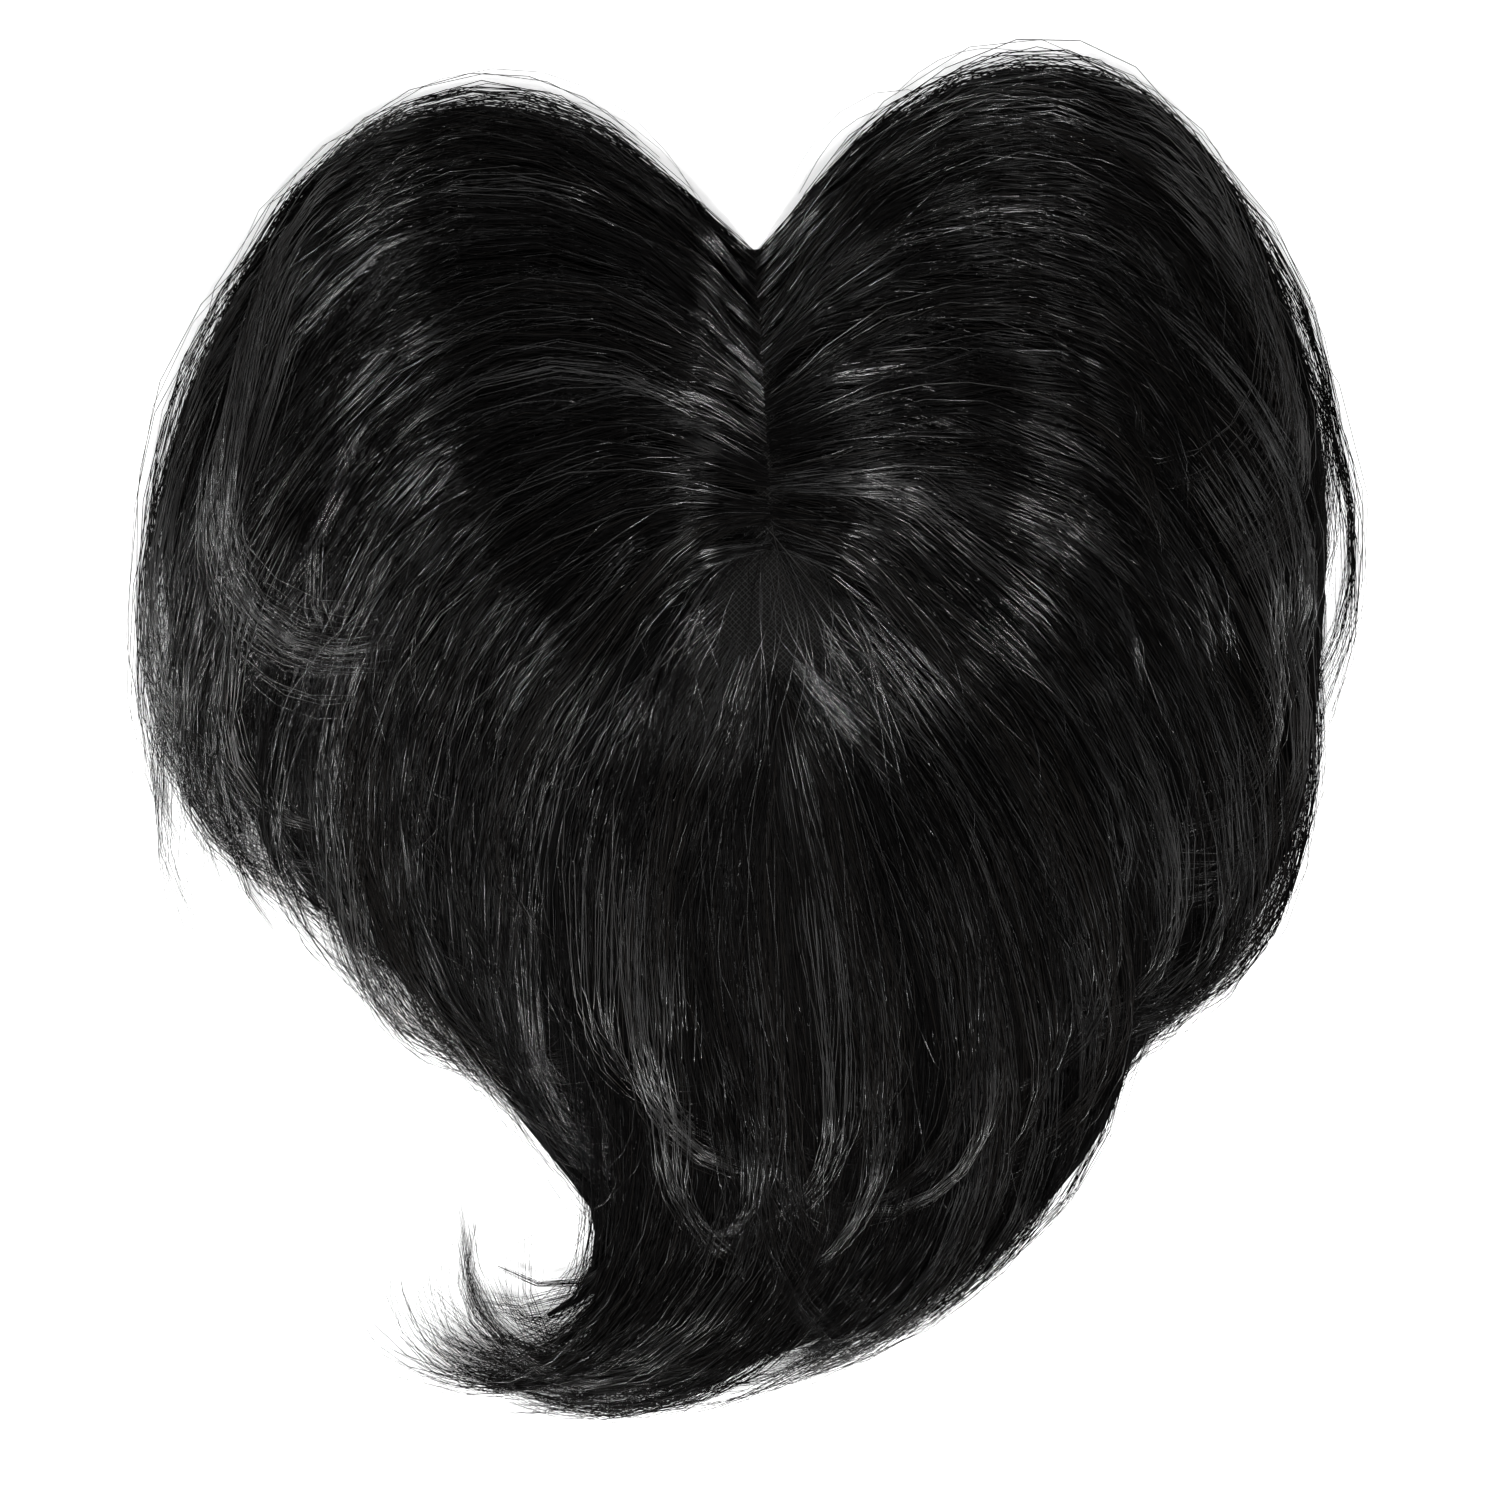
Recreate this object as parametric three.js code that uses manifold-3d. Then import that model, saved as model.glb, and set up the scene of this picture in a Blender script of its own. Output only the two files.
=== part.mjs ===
// A short hair topper lying on a table as it is laid out for sale: a domed oval of net with hair combed
// away from a middle parting, a tail that sweeps to one side, and four snap clips inside the net.
// Millimetres, +Z up, forehead edge towards +Y, tail towards -Y, origin under the middle of its box.
import * as THREE from "three";
import { mergeVertices } from "three/addons/utils/BufferGeometryUtils.js";
import Module from "manifold-3d";

const wasm = await Module();
wasm.setup();

// Net base
const BASE_WIDTH = 120;
const BASE_LENGTH = 136;
const BASE_RISE = 26; // the middle above the rim
const NET_WALL = 1.2;
const HEM_WALL = 2.4; // the net folded back on itself along the rim
const HEM_WIDTH = 6;

// Parting and the bare oval of net at its back end
const PART_LENGTH = 110;
const PART_INSET = 0.5; // from the base's front edge
const PART_FRONT_X = -4.9;
const PART_BACK_X = 1.5;
const PART_GAP = 2.4; // bare net between the two sides
const PART_FLARE = 3.6; // how much wider each side of the groove is at the hair's surface
const WINDOW_WIDTH = 22;
const WINDOW_LENGTH = 34;

// Hair
const HAIR_LENGTH = 284; // the longest lock, along its curve
const LOCK_WIDTH = 46; // the widest plain lock
const ROOT_DEPTH = 5; // hair over the net beside the parting
const FULL_DEPTH = 20; // hair where it leaves the base
const TIP_DEPTH = 2.6; // hair at the ends that lie on the table
const SHOULDER = 0.78; // height of a lock's rounded shoulder, as a share of its middle
const FLICK_DEPTH = 4.5; // how far a turned-in tip stands above the hair that it lies on

// Snap clips
const CLIP_LENGTH = 30;
const CLIP_WIDTH = 9.5;
const CLIP_WALL = 1.2;
const CLIP_SPINE = 3.2; // solid strip that the teeth stand on
const CLIP_TEETH = 7;
const CLIP_TOOTH_WIDTH = 2;
const CLIP_REACH = 0.7; // from the base's middle, as a share of its half width or length

const CLEARANCE = 0.4; // between pieces that touch
const SECTION_CUT = 0.6; // between the three sections of hair

const ROUND_STEPS = 36;
const LOCK_STEPS = 15;
const FLICK_STEPS = 8;
const ABOVE_ALL = 90; // a height that clears the hair
const BELOW_ALL = -5;

const BLACK_FIBRE = new THREE.MeshStandardMaterial({ color: 0x141213, roughness: 0.42, metalness: 0 });
const BLACK_NET = new THREE.MeshStandardMaterial({ color: 0x1a1817, roughness: 0.85, metalness: 0 });
const BLACK_STEEL = new THREE.MeshStandardMaterial({ color: 0x1d1d1f, roughness: 0.35, metalness: 0.8 });

// Comb lines, from the parting outwards. station is the share of the parting, front to back, where the lock
// leaves it. The five headings are degrees from +X towards +Y at the root, at each quarter and at the tip.
// length is a share of HAIR_LENGTH, width of LOCK_WIDTH, depth of FULL_DEPTH, and tip of the lock's own depth.
const LEFT_LOCKS = [
  { station: 0, headings: [144, 170, 240, 259, 268], length: 0.88, width: 0.34, depth: 0.45, tip: 0.3 },
  { station: 0.1, headings: [130, 170, 241, 262, 288], length: 0.93, width: 0.68, depth: 0.75, tip: 0.3 },
  { station: 0.22, headings: [133, 174, 238, 262, 290], length: 0.95, width: 0.95, depth: 1, tip: 0.2 },
  { station: 0.36, headings: [138, 186, 231, 261, 304], length: 0.85, width: 1.1, depth: 1, tip: 0.35 },
  { station: 0.5, headings: [156, 198, 244, 272, 312], length: 0.8, width: 1.1, depth: 1, tip: 0.25 },
  { station: 0.62, headings: [175, 214, 258, 288, 308], length: 0.78, width: 1.1, depth: 0.95, tip: 0.25 },
  { station: 0.74, headings: [205, 248, 276, 272, 138], length: 0.8, width: 1.1, depth: 0.85, tip: 0.2 },
  { station: 0.86, headings: [240, 268, 280, 224, 174], length: 0.83, width: 0.96, depth: 0.8, tip: 0.2 },
  { station: 1, headings: [262, 272, 276, 222, 170], length: 0.78, width: 0.8, depth: 0.9, tip: 0.3 },
];
const RIGHT_LOCKS = [
  { station: 0, headings: [41, 15, -52, -82, -86], length: 0.91, width: 0.34, depth: 0.45, tip: 0.3 },
  { station: 0.1, headings: [44, 6, -54, -78, -100], length: 0.87, width: 0.74, depth: 0.75, tip: 0.3 },
  { station: 0.22, headings: [44, 0, -54, -80, -112], length: 0.86, width: 0.92, depth: 1, tip: 0.3 },
  { station: 0.36, headings: [34, -10, -56, -84, -125], length: 0.84, width: 1.1, depth: 1, tip: 0.3 },
  { station: 0.5, headings: [12, -20, -60, -94, -156], length: 0.84, width: 1.1, depth: 1, tip: 0.3 },
  { station: 0.62, headings: [-8, -36, -66, -96, -150], length: 0.77, width: 1.1, depth: 0.95, tip: 0.3 },
  { station: 0.74, headings: [-28, -52, -79, -110, -150], length: 0.8, width: 1, depth: 0.9, tip: 0.25 },
  { station: 0.86, headings: [-48, -66, -86, -118, -170], length: 0.79, width: 1, depth: 0.85, tip: 0.25 },
  { station: 1, headings: [-72, -80, -92, -124, -178], length: 0.72, width: 0.9, depth: 0.9, tip: 0.3 },
];

// Turned-in tips. Each leaves the comb line `line`, which may lie between two rows, at the share `from` of
// its length, and turns by `turn` degrees over `length` of HAIR_LENGTH.
const LEFT_FLICKS = [
  { line: 0.9, from: 0.8, turn: 118, length: 0.24, width: 0.24 },
  { line: 3, from: 0.8, turn: 70, length: 0.22, width: 0.3 },
  { line: 4.3, from: 0.82, turn: 70, length: 0.2, width: 0.3 },
  { line: 6.6, from: 0.45, turn: 60, length: 0.26, width: 0.34 },
];
const RIGHT_FLICKS = [
  { line: 1, from: 0.76, turn: -100, length: 0.24, width: 0.28 },
  { line: 3.4, from: 0.72, turn: -90, length: 0.24, width: 0.34 },
  { line: 4.6, from: 0.74, turn: -75, length: 0.26, width: 0.34 },
  { line: 6.8, from: 0.46, turn: -30, length: 0.26, width: 0.34 },
];

// Lines that divide the back hair from the two sides, from the window out past the hair's edge
const LEFT_DIVIDE = { station: 0.7, headings: [190, 226, 252, 262, 262], length: 0.92 };
const RIGHT_DIVIDE = { station: 0.7, headings: [-14, -38, -60, -66, -66], length: 0.92 };

const halfWidth = BASE_WIDTH / 2;
const halfLength = BASE_LENGTH / 2;
const partFront = new THREE.Vector2(PART_FRONT_X, halfLength - PART_INSET);
const partBack = new THREE.Vector2(PART_BACK_X, halfLength - PART_INSET - PART_LENGTH);

const smooth = (low, high, x) => THREE.MathUtils.smoothstep(x, low, high);

// Height of the base's outer face, which is a shallow bowl turned over
function domeHeight(x, y) {
  const reach = (x / halfWidth) ** 2 + (y / halfLength) ** 2;
  return BASE_RISE * Math.max(0, 1 - reach);
}

// Heading at share t of a comb line, through its five headings on one smooth curve
function headingAt(headings, t) {
  const spans = headings.length - 1;
  const place = Math.min(Math.max(t, 0), 1) * spans;
  const i = Math.min(Math.floor(place), spans - 1);
  const f = place - i;
  const here = headings[i];
  const next = headings[i + 1];
  const before = i > 0 ? headings[i - 1] : 2 * here - next;
  const after = i + 2 <= spans ? headings[i + 2] : 2 * next - here;
  const cubic = -before + 3 * here - 3 * next + after;
  const square = 2 * before - 5 * here + 4 * next - after;
  return here + 0.5 * f * (next - before + f * (square + f * cubic));
}

// Row of a table at a place between two of its rows
function between(rows, line) {
  const i = Math.min(Math.floor(line), rows.length - 2);
  const f = line - i;
  const mix = (a, b) => a + (b - a) * f;
  const [a, b] = [rows[i], rows[i + 1]];
  return {
    station: mix(a.station, b.station),
    headings: a.headings.map((h, k) => mix(h, b.headings[k])),
    length: mix(a.length, b.length),
    depth: mix(a.depth, b.depth),
    tip: mix(a.tip, b.tip),
  };
}

// Points and headings along a comb line
function combLine(row, steps) {
  const point = partFront.clone().lerp(partBack, row.station);
  const stride = (row.length * HAIR_LENGTH) / steps;
  const line = [];
  for (let i = 0; i <= steps; i++) {
    const heading = THREE.MathUtils.degToRad(headingAt(row.headings, i / steps));
    line.push({ x: point.x, y: point.y, heading, t: i / steps });
    const onward = THREE.MathUtils.degToRad(headingAt(row.headings, (i + 0.5) / steps));
    point.x += stride * Math.cos(onward);
    point.y += stride * Math.sin(onward);
  }
  return line;
}

// Depth of hair at share t of a lock: thin over the roots, full past the base, thin again at the tip
function hairDepth(row, t) {
  const full = row.depth * FULL_DEPTH;
  const tipDepth = Math.max(TIP_DEPTH, row.tip * full);
  const rising = ROOT_DEPTH + (full - ROOT_DEPTH) * smooth(0, 0.36, t);
  return rising + (tipDepth - full) * smooth(0.42, 1, t);
}

// Turns a BufferGeometry into a solid that can be joined and cut
function solid(geometry) {
  geometry.deleteAttribute("normal");
  geometry.deleteAttribute("uv");
  const merged = mergeVertices(geometry, 1e-4);
  return new wasm.Manifold(
    new wasm.Mesh({
      numProp: 3,
      vertProperties: merged.attributes.position.array,
      triVerts: new Uint32Array(merged.index.array),
    }),
  );
}

function geometryOf(manifold) {
  const { vertProperties, triVerts } = manifold.getMesh();
  const geometry = new THREE.BufferGeometry();
  geometry.setAttribute("position", new THREE.BufferAttribute(vertProperties, 3));
  geometry.setIndex(new THREE.BufferAttribute(triVerts, 1));
  return geometry;
}

// Closed skin over rings of points, all with the same count and running the same way round
function skin(rings) {
  const count = rings[0].length;
  const last = rings.length - 1;
  const index = [];
  for (let r = 0; r < last; r++) {
    for (let k = 0; k < count; k++) {
      const a = r * count + k;
      const b = r * count + ((k + 1) % count);
      index.push(a, b, a + count, b, b + count, a + count);
    }
  }
  for (let k = 1; k < count - 1; k++) {
    index.push(0, k + 1, k);
    index.push(last * count, last * count + k, last * count + k + 1);
  }
  const geometry = new THREE.BufferGeometry();
  geometry.setAttribute("position", new THREE.Float32BufferAttribute(rings.flat(2), 3));
  geometry.setIndex(index);
  return geometry;
}

// Section of a lock, across its middle: [share of half width, share of height]
const LOCK_SECTION = [
  [1, 0],
  [0.86, SHOULDER],
  [0.38, 1],
  [-0.38, 1],
  [-0.86, SHOULDER],
  [-1, 0],
];

// One lock from the table down to the surface that it lies over, drawn in at its root and its tip
function lock(line, width, depthAt) {
  const rings = line.map((at) => {
    const drawnIn = 0.56 + 0.44 * smooth(0, 0.36, at.t) - 0.84 * smooth(0.55, 1, at.t);
    const half = (width * LOCK_WIDTH * drawnIn) / 2;
    return LOCK_SECTION.map(([across, up]) => {
      const x = at.x - Math.sin(at.heading) * across * half;
      const y = at.y + Math.cos(at.heading) * across * half;
      return [x, y, up * (domeHeight(x, y) + depthAt(at.t))];
    });
  });
  return solid(skin(rings));
}

function plainLock(row) {
  return lock(combLine(row, LOCK_STEPS), row.width, (t) => hairDepth(row, t));
}

// A turned-in tip: it leaves its comb line and curls across the hair beside it
function flick(rows, row) {
  const host = between(rows, row.line);
  const whole = combLine(host, LOCK_STEPS * 2);
  const start = whole[Math.round(row.from * LOCK_STEPS * 2)];
  const stride = (row.length * HAIR_LENGTH) / FLICK_STEPS;
  const point = { x: start.x, y: start.y };
  const line = [];
  for (let i = 0; i <= FLICK_STEPS; i++) {
    const t = i / FLICK_STEPS;
    const heading = start.heading + THREE.MathUtils.degToRad(row.turn * t);
    line.push({ x: point.x, y: point.y, heading, t });
    point.x += stride * Math.cos(heading);
    point.y += stride * Math.sin(heading);
  }
  const under = (t) => hairDepth(host, row.from + (t * row.length) / host.length);
  return lock(line, row.width, (t) => under(t) + FLICK_DEPTH * (smooth(0, 0.4, t) - smooth(0.6, 1.3, t)));
}

// A thin upright wall along a comb line
function divide(row) {
  const rings = combLine(row, LOCK_STEPS).map((at) =>
    [
      [1, BELOW_ALL],
      [1, ABOVE_ALL],
      [-1, ABOVE_ALL],
      [-1, BELOW_ALL],
    ].map(([side, z]) => [
      at.x - (Math.sin(at.heading) * side * SECTION_CUT) / 2,
      at.y + (Math.cos(at.heading) * side * SECTION_CUT) / 2,
      z,
    ]),
  );
  return solid(skin(rings));
}

// Groove along the parting, from beyond the front edge to the window
function partingGroove() {
  const along = partBack.clone().sub(partFront).normalize();
  const across = new THREE.Vector2(-along.y, along.x);
  const ahead = partFront.clone().addScaledVector(along, -WINDOW_LENGTH);
  const top = PART_GAP / 2 + PART_FLARE;
  const flareFoot = BASE_RISE + ROOT_DEPTH;
  const rings = [ahead, partBack].map((end) =>
    [
      [PART_GAP / 2, BELOW_ALL],
      [PART_GAP / 2, 0],
      [top, flareFoot],
      [top, ABOVE_ALL],
      [-top, ABOVE_ALL],
      [-top, flareFoot],
      [-PART_GAP / 2, 0],
      [-PART_GAP / 2, BELOW_ALL],
    ].map(([side, z]) => [end.x + across.x * side, end.y + across.y * side, z]),
  );
  return solid(skin(rings));
}

// Flared oval over the bare net at the parting's back end
function netWindow() {
  const height = ABOVE_ALL - BELOW_ALL;
  const geometry = new THREE.CylinderGeometry(1 + PART_FLARE / WINDOW_WIDTH, 1, height, ROUND_STEPS / 2);
  geometry.rotateX(Math.PI / 2);
  geometry.scale(WINDOW_WIDTH / 2, WINDOW_LENGTH / 2, 1);
  const middle = partBack.clone().lerp(partFront, WINDOW_LENGTH / 2 / PART_LENGTH);
  geometry.translate(middle.x, middle.y, BELOW_ALL + height / 2);
  return solid(geometry);
}

// Solid under the base's outer face, grown all round by `grow`, that keeps the hair off the net
function underBase(grow) {
  const profile = [new THREE.Vector2(0, BELOW_ALL), new THREE.Vector2(1, BELOW_ALL)];
  for (let i = 0; i <= 8; i++) {
    const reach = Math.cos((i / 8) * (Math.PI / 2));
    profile.push(new THREE.Vector2(reach, (BASE_RISE + grow) * (1 - reach ** 2) + grow * 0.5));
  }
  const geometry = new THREE.LatheGeometry(profile, ROUND_STEPS);
  geometry.rotateX(Math.PI / 2);
  geometry.scale(halfWidth + grow, halfLength + grow, 1);
  return solid(geometry);
}

// Net base: a thin bowl with its rim folded back into a hem
function netBase() {
  const hemStart = 1 - HEM_WIDTH / halfWidth;
  const hemFoot = Math.sqrt(1 - HEM_WALL / BASE_RISE);
  const outer = [];
  const inner = [];
  for (let i = 0; i <= 8; i++) {
    const reach = Math.cos((i / 8) * (Math.PI / 2));
    outer.push(new THREE.Vector2(reach, BASE_RISE * (1 - reach ** 2)));
    const inside = reach * hemStart;
    inner.push(new THREE.Vector2(inside, BASE_RISE * (1 - inside ** 2) - NET_WALL));
  }
  const hem = [
    new THREE.Vector2(hemStart, BASE_RISE * (1 - hemStart ** 2) - HEM_WALL),
    new THREE.Vector2(hemFoot, 0),
  ];
  const profile = [...inner.reverse(), ...hem, ...outer];
  const geometry = new THREE.LatheGeometry(profile, ROUND_STEPS);
  geometry.rotateX(Math.PI / 2);
  geometry.scale(halfWidth, halfLength, 1);
  return geometry;
}

// Snap clip: one flat comb with rounded ends
function clipGeometry() {
  const half = CLIP_LENGTH / 2;
  const round = CLIP_SPINE / 2;
  const shape = new THREE.Shape();
  const spineFoot = CLIP_WIDTH / 2 - CLIP_SPINE;
  const tipY = -CLIP_WIDTH / 2;
  const pitch = (CLIP_LENGTH - 2 * round - CLIP_TOOTH_WIDTH) / (CLIP_TEETH - 1);
  shape.moveTo(half - round, CLIP_WIDTH / 2);
  shape.lineTo(-half + round, CLIP_WIDTH / 2);
  shape.absarc(-half + round, CLIP_WIDTH / 2 - round, round, Math.PI / 2, (3 * Math.PI) / 2, false);
  for (let i = 0; i < CLIP_TEETH; i++) {
    const x = -half + round + i * pitch;
    if (i > 0) shape.lineTo(x, spineFoot);
    shape.lineTo(x + CLIP_TOOTH_WIDTH * 0.3, tipY);
    shape.lineTo(x + CLIP_TOOTH_WIDTH * 0.7, tipY);
    shape.lineTo(x + CLIP_TOOTH_WIDTH, spineFoot);
  }
  shape.absarc(half - round, CLIP_WIDTH / 2 - round, round, -Math.PI / 2, Math.PI / 2, false);
  const geometry = new THREE.ExtrudeGeometry(shape, { depth: CLIP_WALL, bevelEnabled: false, curveSegments: 5 });
  return geometry;
}

// A clip under the net at a bearing from the base's middle, its teeth towards the middle. It lies square to
// the net there, deep enough for its corners to clear the net as it falls away.
function clip(name, bearing) {
  const angle = THREE.MathUtils.degToRad(bearing);
  const x = CLIP_REACH * halfWidth * Math.cos(angle);
  const y = CLIP_REACH * halfLength * Math.sin(angle);
  const slope = new THREE.Vector3(
    (2 * BASE_RISE * x) / halfWidth ** 2,
    (2 * BASE_RISE * y) / halfLength ** 2,
    1,
  ).normalize();
  const outwards = new THREE.Vector3(Math.cos(angle), Math.sin(angle), 0);
  const up = outwards.clone().addScaledVector(slope, -outwards.dot(slope)).normalize();
  const side = new THREE.Vector3().crossVectors(up, slope);
  const fall = (along, reach) => BASE_RISE * reach ** 2 * ((along.x / halfWidth) ** 2 + (along.y / halfLength) ** 2);
  const cornerFall = fall(side, CLIP_LENGTH / 2) + fall(up, CLIP_WIDTH / 2);
  const depth = (NET_WALL + cornerFall) * slope.z + CLEARANCE + CLIP_WALL;
  const mesh = new THREE.Mesh(clipGeometry(), BLACK_STEEL);
  mesh.name = name;
  mesh.matrixAutoUpdate = false;
  mesh.matrix.makeBasis(side, up, slope);
  mesh.matrix.setPosition(new THREE.Vector3(x, y, domeHeight(x, y)).addScaledVector(slope, -depth));
  return mesh;
}

// Hair: every lock joined, lifted off the net, parted, and divided into two sides and the back
function hairSections() {
  const locks = [
    ...LEFT_LOCKS.map(plainLock),
    ...RIGHT_LOCKS.map(plainLock),
    ...LEFT_FLICKS.map((row) => flick(LEFT_LOCKS, row)),
    ...RIGHT_FLICKS.map((row) => flick(RIGHT_LOCKS, row)),
  ];
  const cuts = [underBase(CLEARANCE), partingGroove(), netWindow(), divide(LEFT_DIVIDE), divide(RIGHT_DIVIDE)];
  const hair = wasm.Manifold.union(locks).subtract(wasm.Manifold.union(cuts));
  return hair.decompose().map(geometryOf);
}

function hairMeshes() {
  const sections = hairSections().map((geometry) => {
    geometry.computeBoundingBox();
    return { geometry, middle: geometry.boundingBox.getCenter(new THREE.Vector3()) };
  });
  const back = sections.reduce((a, b) => (b.middle.y < a.middle.y ? b : a));
  return sections.map((section) => {
    const mesh = new THREE.Mesh(section.geometry, BLACK_FIBRE);
    const sideName = section.middle.x < 0 ? "hair_left" : "hair_right";
    mesh.name = section === back ? "hair_back" : sideName;
    return mesh;
  });
}

const baseMesh = new THREE.Mesh(netBase(), BLACK_NET);
baseMesh.name = "base_net";

const topper = new THREE.Group();
topper.add(
  baseMesh,
  ...hairMeshes(),
  clip("clip_front", 90),
  clip("clip_left", 180),
  clip("clip_back", 270),
  clip("clip_right", 0),
);
topper.updateMatrixWorld(true);
const box = new THREE.Box3().setFromObject(topper);
const middle = box.getCenter(new THREE.Vector3());
topper.position.set(-middle.x, -middle.y, -box.min.z);

export default topper;
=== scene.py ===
# A short black hair topper lying on a white table, as it is laid out for sale: strands combed away from a
# middle parting over a domed net, their turned-in ends in layers, and a tail that sweeps to one side.
# Metres, +Z up, forehead edge towards +Y, tail towards -Y.
import math
from typing import NamedTuple

import bpy
import numpy as np
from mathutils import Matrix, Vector


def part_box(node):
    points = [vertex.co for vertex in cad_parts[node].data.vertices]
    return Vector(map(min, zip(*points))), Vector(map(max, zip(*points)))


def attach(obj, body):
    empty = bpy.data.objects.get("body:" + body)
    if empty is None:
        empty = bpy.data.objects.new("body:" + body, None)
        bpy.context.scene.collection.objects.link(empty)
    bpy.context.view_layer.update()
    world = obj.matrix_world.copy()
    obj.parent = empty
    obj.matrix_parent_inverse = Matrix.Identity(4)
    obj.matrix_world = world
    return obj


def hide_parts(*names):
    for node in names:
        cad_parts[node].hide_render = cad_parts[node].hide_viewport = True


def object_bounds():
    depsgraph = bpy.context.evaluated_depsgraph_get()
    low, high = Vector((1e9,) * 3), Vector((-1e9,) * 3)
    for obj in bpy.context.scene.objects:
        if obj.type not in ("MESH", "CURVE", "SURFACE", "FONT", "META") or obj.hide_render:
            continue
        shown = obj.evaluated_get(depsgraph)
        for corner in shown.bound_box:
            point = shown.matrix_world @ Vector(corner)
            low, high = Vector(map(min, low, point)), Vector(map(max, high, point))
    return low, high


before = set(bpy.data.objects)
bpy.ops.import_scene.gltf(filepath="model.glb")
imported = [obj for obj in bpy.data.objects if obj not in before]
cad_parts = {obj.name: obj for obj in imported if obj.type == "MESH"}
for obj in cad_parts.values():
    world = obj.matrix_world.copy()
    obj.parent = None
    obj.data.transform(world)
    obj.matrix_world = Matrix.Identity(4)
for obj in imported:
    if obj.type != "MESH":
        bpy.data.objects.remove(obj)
cad_low, cad_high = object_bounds()

MM = 0.001

# The net base, from the frame
base_low, base_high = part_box("base_net")
BASE_MIDDLE = (base_low + base_high) / 2
HALF_WIDTH = (base_high.x - base_low.x) / 2
HALF_LENGTH = (base_high.y - base_low.y) / 2
BASE_RISE = base_high.z

# Parting, and the oval of bare net at its back end
PART_LENGTH = 110 * MM
PART_FRONT = Vector((BASE_MIDDLE.x - 4.9 * MM, BASE_MIDDLE.y + HALF_LENGTH - 0.5 * MM))
PART_BACK = PART_FRONT + Vector((6.4 * MM, -PART_LENGTH))
PART_HALF_GAP = 0.9 * MM
PART_FLARE = 3.4 * MM  # how much wider half the parting is at its front end
WINDOW_WIDTH = 38 * MM
WINDOW_LENGTH = 37 * MM
WINDOW_MIDDLE = PART_BACK.lerp(PART_FRONT, 17 * MM / PART_LENGTH)
BACK_STATION = 0.7  # locks that leave the parting behind this belong to the back hair

# Depth of the hair over the net and the table
ROOT_DEPTH = 4.5 * MM
FULL_DEPTH = 13 * MM
TIP_DEPTH = 2.6 * MM
CREST_LIFT = 2.5 * MM  # how much the roots stand up before the hair falls away from the parting
DROP_FROM = 0.13  # share of a comb line where the hair begins to drop to the table
DROP_TO = 0.37
CROWN_DROP = -0.2  # how much sooner it begins to drop behind the crown
SHOULDER_TOP = BASE_MIDDLE.y - 9 * MM  # the hair beside the base is deeper in front of this
SHOULDER_FOOT = BASE_MIDDLE.y - 46 * MM
SHOULDER_RISE = 0.5  # of FULL_DEPTH
SOFTNESS = 1 * MM

# Single strands
STRAND_WIDTH = 0.24 * MM
STRAND_SIDES = 3
FLAT_UP = math.radians(90)  # turns a three-sided strand so that a flat side is on top
STRAND_STEPS = 12
BUNDLE = 2700  # strands in one piece, which keeps it under 200,000 triangles
FINE_STEPS = 72
OVERHANG = Vector((14, 14, 8)) * MM  # how far stray strands may reach past the solids
LEFT_SHEAVES = (0.02, 0.1, 0.17, 0.28, 0.35, 0.46, 0.53, 0.62, 0.7)  # where roots gather along the parting
RIGHT_SHEAVES = (0.03, 0.08, 0.19, 0.25, 0.38, 0.44, 0.56, 0.63, 0.7)

# How locks and strands vary
SWAY = 6  # degrees that a lock wavers
GATHER = (0.35, 0.9)  # share of the way that the strands of a lock close up towards its middle
LOCK_LIFT = 1.2 * MM  # how far locks lie over or under each other
LOCK_ROUND = 1.3 * MM  # how far the middle of a lock stands over its sides
SWELL = (0.1, 0.4)  # millimetres that a lock rises and falls on its way
STRONG_SWELL = 4  # times as much, in STRONG_SHARE of the locks
STRONG_SHARE = 0.12
TUCK = (0.05, 0.4)  # share of its height that a lock loses at its tip
START_SCATTER = 0.012  # of a comb line
END_SCATTER = 0.03
SHORTEST = 0.2
LONGEST = 1.14
CURL_SCATTER = 12  # degrees
HEIGHT_SCATTER = 0.35  # millimetres
FAN_SCATTER = 2.2  # millimetres between the roots at the crown
ROOT_PULL = 0.75  # share of the way that a root may move to its sheaf
LOWEST = 0.35 * MM  # of a strand over the net or the table
LONE_GIRTH = 0.75  # of a stray strand, beside one in a lock
BEND_WEIGHT = 0.06  # how much closer a strand's points are where it turns

# The hair under the strands
UNDER_FROM = 0.05
UNDER_TO = 0.9
UNDER_STEPS = 24
UNDER_CURL = 15  # degrees that its tips turn in
UNDER_WIDTH = 0.9  # of the width of the strands over it
UNDER_MARGIN = 1.5 * MM
UNDER_DEPTH = 0.84  # of the depth of the hair
UNDER_SINK = 1.5 * MM
UNDER_GAP = 0.5 * MM  # over the net or the table
UNDER_THINNEST = 0.6 * MM
RING_ACROSS = np.array([-1, -0.85, -0.45, 0, 0.45, 0.85, 1, 0.6, 0, -0.6])  # of half an under-lock's width
RING_UP = np.array([0.2, 0.72, 0.95, 1, 0.95, 0.72, 0.2, 0, 0, 0])  # of its depth

# The threads of the net
NET_PITCH = 1.1 * MM
NET_REACH = 60 * MM  # from the middle of the oval
THREAD_WIDTH = 0.22 * MM
THREAD_LIFT = 0.18 * MM
THREAD_SHAKE = 0.06 * MM
STRIP_HALF = 4 * MM  # of the threads along the parting
STRIP_START = 24 * MM  # behind its front end

# The photograph's frame
FRAME_WIDTH = 375 * MM
FRAME_X = BASE_MIDDLE.x - 6.1 * MM
FRAME_Y = BASE_MIDDLE.y - 58.6 * MM
FRAME_Z = 8 * MM
LENS = 100
SENSOR = 36


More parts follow.
